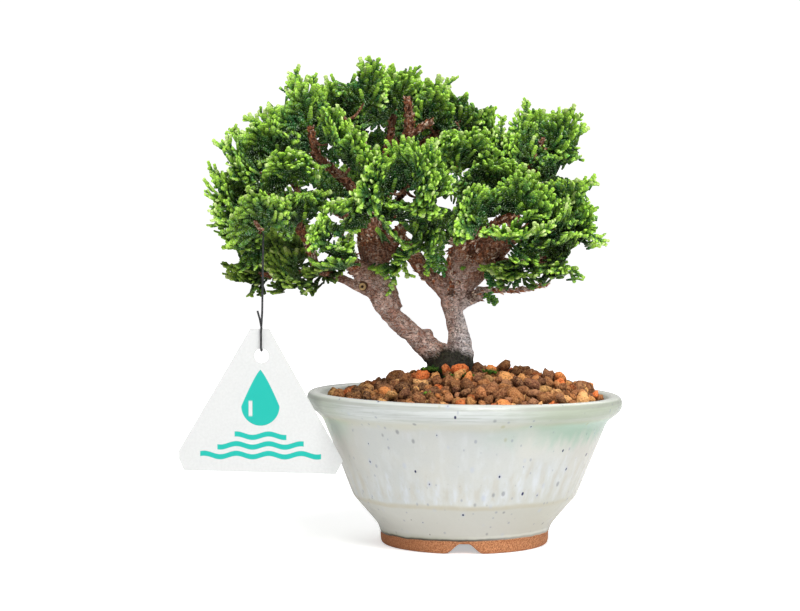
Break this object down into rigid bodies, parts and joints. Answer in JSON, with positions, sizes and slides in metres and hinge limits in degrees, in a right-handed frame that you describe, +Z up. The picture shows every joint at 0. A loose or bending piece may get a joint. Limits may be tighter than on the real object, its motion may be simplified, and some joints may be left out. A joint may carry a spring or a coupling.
{
  "type": "potted hinoki cypress bonsai",
  "caption": "Small hinoki cypress bonsai with two leaning trunks and dense fan sprays, in a round glazed stoneware bowl of clay granules, with a blank hang tag.",
  "frame": {"origin": "middle of the bottom of the whole object's box, on the plane that the pot's foot stands on", "axes": "+Z up; the tree's front looks along -Y, with +X to the right seen from the front; the pot's axis stands at X = 0.0283 m, Y = 0"},
  "size_m": [0.2072, 0.1506, 0.2319],
  "materials": {
    "glaze": "glossy pale celadon glaze with blue specks, unglazed terracotta foot",
    "screen": "matte black",
    "granules": "matte porous baked clay, brown with orange and tan grains",
    "bark": "rough flaking pinkish grey-brown bark",
    "foliage": "satin green scale leaves, yellow-green at the tips",
    "tag_card": "satin white card",
    "wire": "black coated wire"
  },
  "bodies": {
    "root": {"pot": "glaze", "drain_screen": "screen", "soil": "granules", "tree_wood": "bark", "spray_left_stub_1": "foliage", "spray_left_stub_2": "foliage", "spray_low_left_1": "foliage", "spray_low_left_2": "foliage", "spray_low_left_3": "foliage", "spray_tag_twig_1": "foliage", "spray_low_left_tip_1": "foliage", "spray_low_left_tip_2": "foliage", "spray_low_left_tip_3": "foliage", "spray_low_left_tip_4": "foliage", "spray_left_middle_1": "foliage", "spray_left_middle_2": "foliage", "spray_left_middle_3": "foliage", "spray_left_upper_1": "foliage", "spray_left_upper_2": "foliage", "spray_left_upper_3": "foliage", "spray_top_left_1": "foliage", "spray_top_left_2": "foliage", "spray_left_leader_1": "foliage", "spray_top_right_1": "foliage", "spray_top_right_2": "foliage", "spray_top_right_3": "foliage", "spray_top_right_4": "foliage", "spray_left_front_1": "foliage", "spray_left_front_2": "foliage", "spray_left_front_3": "foliage", "spray_left_front_4": "foliage", "spray_left_back_1": "foliage", "spray_left_back_2": "foliage", "spray_left_back_3": "foliage", "spray_left_top_back_1": "foliage", "spray_left_top_back_2": "foliage", "spray_centre_back_1": "foliage", "spray_centre_back_2": "foliage", "spray_centre_back_3": "foliage", "spray_right_to_left_1": "foliage", "spray_right_to_left_2": "foliage", "spray_right_leader_1": "foliage", "spray_right_leader_2": "foliage", "spray_right_front_1": "foliage", "spray_right_front_2": "foliage", "spray_right_front_3": "foliage", "spray_right_upper_1": "foliage", "spray_right_upper_2": "foliage", "spray_right_upper_3": "foliage", "spray_right_main_1": "foliage", "spray_right_main_2": "foliage", "spray_right_main_3": "foliage", "spray_right_low_1": "foliage", "spray_right_low_2": "foliage", "spray_right_back_1": "foliage", "spray_right_back_2": "foliage", "spray_right_back_3": "foliage", "spray_right_back_low_1": "foliage", "hang_tag": "tag_card", "tag_wire": "wire"}
  },
  "joints": []
}
